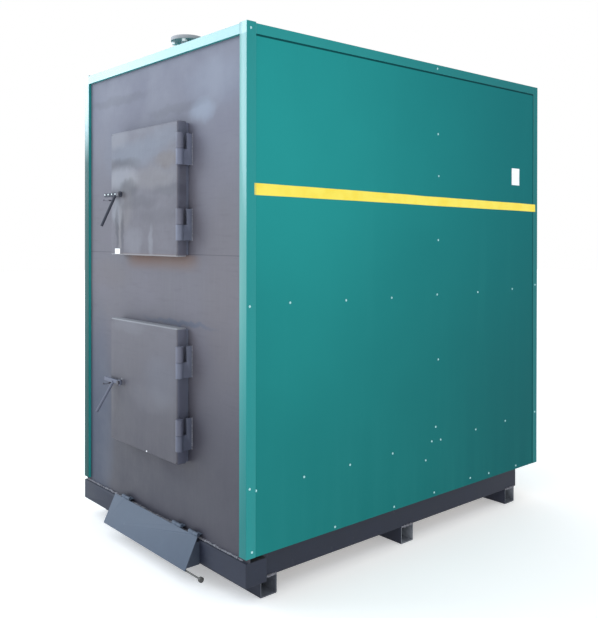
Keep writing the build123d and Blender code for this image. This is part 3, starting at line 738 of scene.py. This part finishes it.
# Geometry node trees
class NodeTree:
    # A geometry node group with named inputs, ending in Realize Instances and Set Material
    def __init__(self, name, inputs):
        self.group = bpy.data.node_groups.new(name, "GeometryNodeTree")
        self.sockets = {}
        self.group.interface.new_socket("Geometry", in_out="INPUT", socket_type="NodeSocketGeometry")
        self.group.interface.new_socket("Geometry", in_out="OUTPUT", socket_type="NodeSocketGeometry")
        for label, (kind, value) in inputs.items():
            socket = self.group.interface.new_socket(label, in_out="INPUT", socket_type="NodeSocket" + kind)
            if value is not None:
                socket.default_value = value
            self.sockets[label] = socket.identifier
        self.entry = self.group.nodes.new("NodeGroupInput")
        self.exit = self.group.nodes.new("NodeGroupOutput")

    def given(self, label):
        return self.entry.outputs[label]

    def node(self, kind, settings=None, inputs=None):
        made = self.group.nodes.new(kind)
        for key, value in (settings or {}).items():
            setattr(made, key, value)
        for key, value in (inputs or {}).items():
            for part in value if isinstance(value, list) else [value]:
                if isinstance(part, bpy.types.NodeSocket):
                    self.group.links.new(part, made.inputs[key])
                else:
                    made.inputs[key].default_value = part
        return made

    def maths(self, operation, first, second):
        return self.node("ShaderNodeMath", {"operation": operation}, {0: first, 1: second}).outputs[0]

    def times(self, label, share):
        return self.maths("MULTIPLY", self.given(label), share)

    def scatter(self, shape):
        # One copy of the shape at each point, turned to the point's aim and then about its own axis by chance
        aim = self.node("GeometryNodeInputNamedAttribute", {"data_type": "FLOAT_VECTOR"}, {"Name": "aim"}).outputs[0]
        limits = {3: 2 * math.pi, "Seed": self.given("Seed")}
        spin = self.node("FunctionNodeRandomValue", {"data_type": "FLOAT"}, limits)
        turn = self.node("ShaderNodeCombineXYZ", None, {2: spin.outputs[1]}).outputs[0]
        own = self.node("FunctionNodeEulerToRotation", None, {0: turn}).outputs[0]
        aligned = self.node("FunctionNodeAlignRotationToVector", {"axis": "Z"}, {"Vector": aim}).outputs[0]
        both = self.node("FunctionNodeRotateRotation", {"rotation_space": "LOCAL"}, {0: aligned, 1: own}).outputs[0]
        points = self.node("GeometryNodeMeshToPoints", None, {0: self.given("Geometry")}).outputs[0]
        self.end(self.node("GeometryNodeInstanceOnPoints", None, {
            "Points": points, "Instance": shape, "Rotation": both}).outputs[0])

    def raised(self, shape, height):
        up = self.node("ShaderNodeCombineXYZ", None, {2: height}).outputs[0]
        return self.node("GeometryNodeTransform", None, {0: shape, "Translation": up}).outputs[0]

    def joined(self, shapes):
        return self.node("GeometryNodeJoinGeometry", None, {0: shapes}).outputs[0]

    def end(self, geometry):
        solid = self.node("GeometryNodeRealizeInstances", None, {0: geometry}).outputs[0]
        painted = self.node("GeometryNodeSetMaterial", None, {0: solid, "Material": self.given("Finish")}).outputs[0]
        self.group.links.new(painted, self.exit.inputs[0])

    def run(self, name, mesh, finish, slot, degrees, values):
        piece = link(name, mesh)
        modifier = piece.modifiers.new("pattern", "NODES")
        modifier.node_group = self.group
        for label, value in {**values, "Finish": finishes[finish]}.items():
            modifier[self.sockets[label]] = value
        baked(piece)
        smoothByAngle(piece.data, degrees)
        dress(piece, "boiler", finish, slot)


def pointMesh(name, spots):
    # Each spot is a place and the direction that its screw faces
    mesh = bpy.data.meshes.new(name)
    mesh.from_pydata([place for place, aim in spots], [], [])
    aims = mesh.attributes.new("aim", "FLOAT_VECTOR", "POINT")
    aims.data.foreach_set("vector", [value for place, aim in spots for value in aim])
    return mesh


def screwTree():
    # Hexagon-headed sheet screw on a round washer
    tree = NodeTree("sheetScrews", {"Head Radius": ("Float", 4 * mm), "Head Height": ("Float", 3 * mm),
                                    "Washer Radius": ("Float", 7 * mm), "Washer Height": ("Float", 1 * mm),
                                    "Seed": ("Int", 1), "Finish": ("Material", None)})
    washer = tree.node("GeometryNodeMeshCone", None, {
        "Vertices": 20, "Radius Top": tree.times("Washer Radius", 0.78),
        "Radius Bottom": tree.given("Washer Radius"), "Depth": tree.given("Washer Height")})
    head = tree.node("GeometryNodeMeshCylinder", None, {
        "Vertices": 6, "Radius": tree.given("Head Radius"), "Depth": tree.given("Head Height")})
    crown = tree.node("GeometryNodeMeshCone", None, {
        "Vertices": 12, "Radius Top": tree.times("Head Radius", 0.55),
        "Radius Bottom": tree.times("Head Radius", 0.84),
        "Depth": tree.times("Head Height", 0.18)})
    parts = [washer.outputs[0]]
    for part, share in ((head, 0.5), (crown, 1.0)):
        height = tree.maths("ADD", tree.given("Washer Height"), tree.times("Head Height", share))
        parts.append(tree.raised(part.outputs[0], height))
    tree.scatter(tree.joined(parts))
    return tree


def boltTree():
    # Hexagon bolt from below: head, washer and the shank that fills the hole
    tree = NodeTree("flangeBolts", {"Head Radius": ("Float", 13.8 * mm), "Head Height": ("Float", 10 * mm),
                                    "Washer Radius": ("Float", 15 * mm), "Washer Height": ("Float", 3 * mm),
                                    "Shank Radius": ("Float", 8 * mm), "Shank Length": ("Float", 15 * mm),
                                    "Seed": ("Int", 2), "Finish": ("Material", None)})
    parts = []
    # Each part: its sides, the way that it reaches from the flange, and whether it lies past the washer
    for kind, length, sides, way, past in (("Shank", "Shank Length", 24, 1, 0), ("Washer", "Washer Height", 32, -1, 0),
                                           ("Head", "Head Height", 6, -1, 1)):
        body = tree.node("GeometryNodeMeshCylinder", None, {
            "Vertices": sides, "Radius": tree.given(kind + " Radius"), "Depth": tree.given(length)}).outputs[0]
        height = tree.maths("SUBTRACT", tree.times(length, 0.5 * way), tree.times("Washer Height", past))
        parts.append(tree.raised(body, height))
    tree.scatter(tree.joined(parts))
    return tree


def weldTree():
    # Ripples of weld metal laid one over the other along a line
    tree = NodeTree("weldBeads", {"Bead Radius": ("Float", 4 * mm), "Pitch": ("Float", 4 * mm),
                                  "Unevenness": ("Float", 0.25), "Seed": ("Int", 3), "Finish": ("Material", None)})
    line = tree.node("GeometryNodeMeshToCurve", None, {0: tree.given("Geometry")}).outputs[0]
    spaced = tree.node("GeometryNodeResampleCurve", {"mode": "LENGTH"}, {0: line, "Length": tree.given("Pitch")})
    ripple = tree.node("GeometryNodeMeshUVSphere", None, {
        "Segments": 8, "Rings": 5, "Radius": tree.given("Bead Radius")}).outputs[0]
    tangent = tree.node("GeometryNodeInputTangent").outputs[0]
    aligned = tree.node("FunctionNodeAlignRotationToVector", {"axis": "X"}, {"Vector": tangent}).outputs[0]
    low = tree.maths("SUBTRACT", 1.0, tree.given("Unevenness"))
    high = tree.maths("ADD", 1.0, tree.given("Unevenness"))
    size = tree.node("FunctionNodeRandomValue", {"data_type": "FLOAT"}, {2: low, 3: high, "Seed": tree.given("Seed")})
    scale = tree.node("ShaderNodeCombineXYZ", None, {0: 0.85, 1: size.outputs[1], 2: size.outputs[1]}).outputs[0]
    tree.end(tree.node("GeometryNodeInstanceOnPoints", None, {
        "Points": spaced.outputs[0], "Instance": ripple, "Rotation": aligned, "Scale": scale}).outputs[0])
    return tree


# Screws in the casing
screws = {"rim": {"Head Radius": 3.6 * mm, "Head Height": 1.5 * mm, "Washer Radius": 5.4 * mm,
                  "Washer Height": 0.6 * mm, "Seed": 11},
          "sideOnTrim": [(-1.013, 2.38), (-1.018, 1.239), (-1.017, 0.491), (-1.005, 0.229),
                         (0.179, 2.384), (1.076, 1.247), (1.076, 0.502)],
          "sideOnSheet": [(0.188, 2.051), (0.193, 1.837), (0.19, 1.51), (-0.8, 1.243), (-0.466, 1.236),
                          (-0.16, 1.232), (0.183, 1.232), (0.525, 1.229), (0.848, 1.232), (0.192, 0.899),
                          (-0.983, 0.477), (-0.719, 0.481), (-0.439, 0.48), (-0.151, 0.48), (0.095, 0.4),
                          (0.142, 0.488), (0.213, 0.485), (0.173, 0.557), (0.51, 0.489), (0.783, 0.493),
                          (-0.533, 0.218), (-0.139, 0.219), (0.162, 0.224), (0.462, 0.237), (0.628, 0.23),
                          (0.887, 0.222)],
          "rowSpacing": 0.36, "fromEdge": 0.021, "fromFront": 0.024, "rearTrimRow": (0.265, 2.335),
          "acrossRow": (-0.6, 0.6), "topRow": (-0.91, 0.99), "rearSheetHeights": (0.235, 1.235)}


def rowOf(low, high, spacing):
    count = max(2, round((high - low) / spacing) + 1)
    return [low + (high - low) * k / (count - 1) for k in range(count)]


def casingScrewSpots():
    spots = []
    outside, top, rear = casing["halfWidth"], casing["top"], casing["rear"]
    inset, spacing = screws["fromEdge"], screws["rowSpacing"]
    lift = screws["rim"]["Washer Height"] / 2
    for side in (-1, 1):
        for y, z in screws["sideOnTrim"]:
            spots.append(((side * (outside + lift), y, z), (side, 0, 0)))
        for y, z in screws["sideOnSheet"]:
            spots.append(((side * (outside - casing["sheet"] + lift), y, z), (side, 0, 0)))
    for side in (-1, 1):
        for z in rowOf(*screws["rearTrimRow"], spacing):
            spots.append(((side * (outside - inset), rear + lift, z), (0, 1, 0)))
    for x in rowOf(*screws["acrossRow"], spacing):
        spots.append(((x, rear + lift, top - inset), (0, 1, 0)))
        for z in screws["rearSheetHeights"]:
            spots.append(((x, rear - casing["sheet"] + lift, z), (0, 1, 0)))
        for y in (rear - inset, casing["front"] + screws["fromFront"]):
            spots.append(((x, y, top + lift), (0, 0, 1)))
    for y in rowOf(*screws["topRow"], spacing):
        for side in (-1, 1):
            spots.append(((side * (outside - inset), y, top + lift), (0, 0, 1)))
    return spots


screwTree().run("casing_screws", pointMesh("casing_screws", casingScrewSpots()), "screwZinc", "bright_steel", 25,
                screws["rim"])

# Flange bolts
flanges = {"supply": ((0, -0.845, 2.49), (0, 0, 1)), "return": ((0, 1.186, 0.445), (0, 1, 0)), "pitch": 0.0625,
           "pipeRadius": 0.031}


def flangeSpots(centre, aim):
    spots = []
    first = Vector((1, 0, 0))
    second = Vector(aim).cross(first)
    for k in range(4):
        angle = math.radians(45 + 90 * k)
        place = Vector(centre) + flanges["pitch"] * (math.cos(angle) * first + math.sin(angle) * second)
        spots.append((tuple(place), aim))
    return spots


boltSpots = flangeSpots(*flanges["supply"]) + flangeSpots(*flanges["return"])
boltTree().run("flange_bolts", pointMesh("flange_bolts", boltSpots), "zinc", "bright_steel", 25, {})
print("screws and bolts made")


# Weld beads
def lineMesh(name, paths):
    mesh = bpy.data.meshes.new(name)
    corners = []
    edges = []
    for path in paths:
        edges += [(len(corners) + k, len(corners) + k + 1) for k in range(len(path) - 1)]
        corners += path
    mesh.from_pydata(corners, edges, [])
    return mesh


def ring(centre, radius, aim, count=48):
    first = Vector((1, 0, 0))
    second = Vector(aim).cross(first)
    turns = [2 * math.pi * k / count for k in range(count + 1)]
    return [tuple(Vector(centre) + radius * (math.cos(t) * first + math.sin(t) * second)) for t in turns]


def seamPath(start, end, wander, seed):
    # A hand-laid line that strays a little from true
    start, end = Vector(start), Vector(end)
    count = max(2, int((end - start).length / 0.02))
    points = []
    for k in range(count + 1):
        place = start.lerp(end, k / count)
        points.append(tuple(place + wander * noise.noise_vector(place * 40 + Vector((seed, seed, seed)))))
    return points


welds = {"floorLine": {"Bead Radius": 5.5 * mm, "Pitch": 6 * mm, "Unevenness": 0.5},
         "fine": {"Bead Radius": 3.2 * mm, "Pitch": 4 * mm, "Unevenness": 0.22}, "wander": 3.5 * mm,
         "plateLine": (-0.712, 0.7), "footShare": 0.43,
         "hinge": {"beside": 6 * mm, "reach": 70 * mm, "wander": 0.5 * mm}}


def weldPaths():
    ends = [(x, casing["plateFront"] - mm, base["top"] + mm) for x in welds["plateLine"]]
    long = [seamPath(*ends, welds["wander"], 1)]
    reach = base["footDepth"] * welds["footShare"]
    for y in (-base["footSpacing"], 0, base["footSpacing"]):
        for side in (-1, 1):
            ends = [(side * base["sideBeam"], y + way * reach, base["footTop"]) for way in (-1, 1)]
            long.append(seamPath(*ends, 0, 1))
    fine = []
    hinge = welds["hinge"]
    for splits in door["splits"].values():
        for split in splits:
            for x in (door["hingeX"] - hinge["beside"], door["hingeX"] + hinge["beside"]):
                ends = [(x, casing["plateFront"], split + way * hinge["reach"]) for way in (-1, 1)]
                fine.append(seamPath(*ends, hinge["wander"], 4))
    for centre, aim in (flanges["supply"], flanges["return"]):
        fine.append(ring(centre, flanges["pipeRadius"], aim))
    return long, fine


# Without a seed, noise_vector takes one from the clock
noise.seed_set(5)
longPaths, finePaths = weldPaths()
weldBeads = weldTree()
for name, paths, sizes in (("base_weld_beads", longPaths, welds["floorLine"]),
                           ("fine_weld_beads", finePaths, welds["fine"])):
    weldBeads.run(name, lineMesh(name, paths), "weld", "front_paint", 80, sizes)
print("weld beads laid")

# Tape, label and stickers
tape = {"front": (-0.994, 1.697, 1.746), "rear": (1.075, 1.6745, 1.717), "lift": 0.88 * mm, "sink": 0.3 * mm,
        "columns": 160, "wave": 1.6 * mm, "fray": 0.8 * mm, "climb": 4 * mm}


def makeTape():
    y0, low0, high0 = tape["front"]
    y1, low1, high1 = tape["rear"]
    edge0 = casing["front"] + casing["frontFlange"]
    edge1 = casing["rear"] - casing["rearFlange"]
    onTrim, onSheet = casing["halfWidth"], casing["halfWidth"] - casing["sheet"]

    def surface(u, v, lift):
        y = y0 + (y1 - y0) * u
        wave = tape["wave"] * noise.noise(Vector((y * 3.0, 0.3, 7)))
        low = low0 + (low1 - low0) * u + wave
        high = high0 + (high1 - high0) * u + wave + tape["fray"] * noise.noise(Vector((y * 7, 4, 1)))
        # The tape climbs from the sheet onto the trim at either end
        climb = sum(min(1, max(0, 1 + past / tape["climb"])) for past in (edge0 - y, y - edge1))
        x = onSheet + (onTrim - onSheet) * min(1, climb) + lift
        return (x, y, low + (high - low) * v)

    strip = sheetShell("yellow_tape", tape["columns"], 4, lambda u, v: surface(u, v, tape["lift"]),
                       lambda u, v: surface(u, v, -tape["sink"]))
    dress(strip, "boiler", "tape", "green_sheet")


def makeSticker(name, body, corner, across, up, lift, curl):
    # A bare sticker: corner, two edges and the way that it faces
    across, up, lift = Vector(across), Vector(up), Vector(lift)

    def front(u, v):
        curled = curl * (max(0, abs(u - 0.5) + abs(v - 0.5) - 0.75) * 4) ** 2
        return tuple(Vector(corner) + across * u + up * v + lift * (1 + curled))

    def back(u, v):
        return tuple(Vector(corner) + across * u + up * v)

    dress(sheetShell(name, 10, 12, front, back), body, "paper", "green_sheet" if body == "boiler" else "front_paint")


stickers = {
    "bare_label": {"body": "boiler", "corner": (0.7405, 0.84, 1.821), "across": (0, 0.074, 0), "up": (0, 0, 0.095),
                   "lift": (1.1 * mm, 0, 0), "curl": 0.6},
    "door_sticker": {"body": "upper_door", "corner": (-0.291, -1.084, 1.439), "across": (0.05, 0, 0),
                     "up": (0, 0, 0.026), "lift": (0, -1.6 * mm, 0), "curl": 0.3},
    # A small white spot on the lower door's bottom edge
    "white_spot": {"body": "lower_door", "corner": (0.02, -1.084, 0.504), "across": (0.008, 0, 0), "up": (0, 0, 0.007),
                   "lift": (0, -0.9 * mm, 0), "curl": 0.0},
}
makeTape()
for name, sizes in stickers.items():
    makeSticker(name, **sizes)
print("tape and labels made")

# Floor and light
studio = {"floorSize": 60, "towards": (-0.8, -0.6, 0.0), "dark": 0.8, "bright": 1.15,
          "skyColour": (0.93, 0.97, 1.0),
          "lamp": {"azimuth": 53, "elevation": 25, "angle": 38, "strength": 1.3, "colour": (0.8, 0.95, 1.08)}}


def aimedLamp(name, azimuth, elevation, angle, strength, colour):
    # A wide soft panel far away; azimuth turns it from the front towards the boiler's left
    data = bpy.data.lights.new(name, "SUN")
    data.angle = math.radians(angle)
    data.energy = strength
    data.color = colour
    lamp = link(name, data)
    turn, rise = math.radians(azimuth), math.radians(elevation)
    source = Vector((-math.sin(turn) * math.cos(rise), -math.cos(turn) * math.cos(rise), math.sin(rise)))
    lamp.rotation_euler = source.to_track_quat("Z", "Y").to_euler()


def makeStudio():
    mesh = bpy.data.meshes.new("studio_floor")
    half = studio["floorSize"] / 2
    mesh.from_pydata([(-half, -half, 0), (half, -half, 0), (half, half, 0), (-half, half, 0)], [], [(0, 1, 2, 3)])
    floor = link("studio_floor", mesh)
    mesh.materials.append(finishes["floor"])
    aimedLamp("wide_panel", **studio["lamp"])
    world = bpy.data.worlds.new("studio")
    bench = NodeBench(world)
    place = bench.node("ShaderNodeTexCoord", out="Object")
    along = bench.node("ShaderNodeVectorMath", {"operation": "DOT_PRODUCT"}, {0: place, 1: studio["towards"]},
                       out="Value")
    spread = bench.node("ShaderNodeMapRange", None, dict(enumerate((along, -0.9, 0.6, studio["dark"],
                                                                    studio["bright"]))))
    soft = bench.node("ShaderNodeBackground", None, {0: studio["skyColour"], 1: spread})
    white = bench.node("ShaderNodeBackground", None, {0: (1, 1, 1)})
    toCamera = bench.node("ShaderNodeLightPath", out="Is Camera Ray")
    bench.end("ShaderNodeOutputWorld", bench.node("ShaderNodeMixShader", None, {0: toCamera, 1: soft, 2: white}))
    bpy.context.scene.world = world
    bpy.context.scene.view_settings.view_transform = "Standard"


makeStudio()
print("studio set")
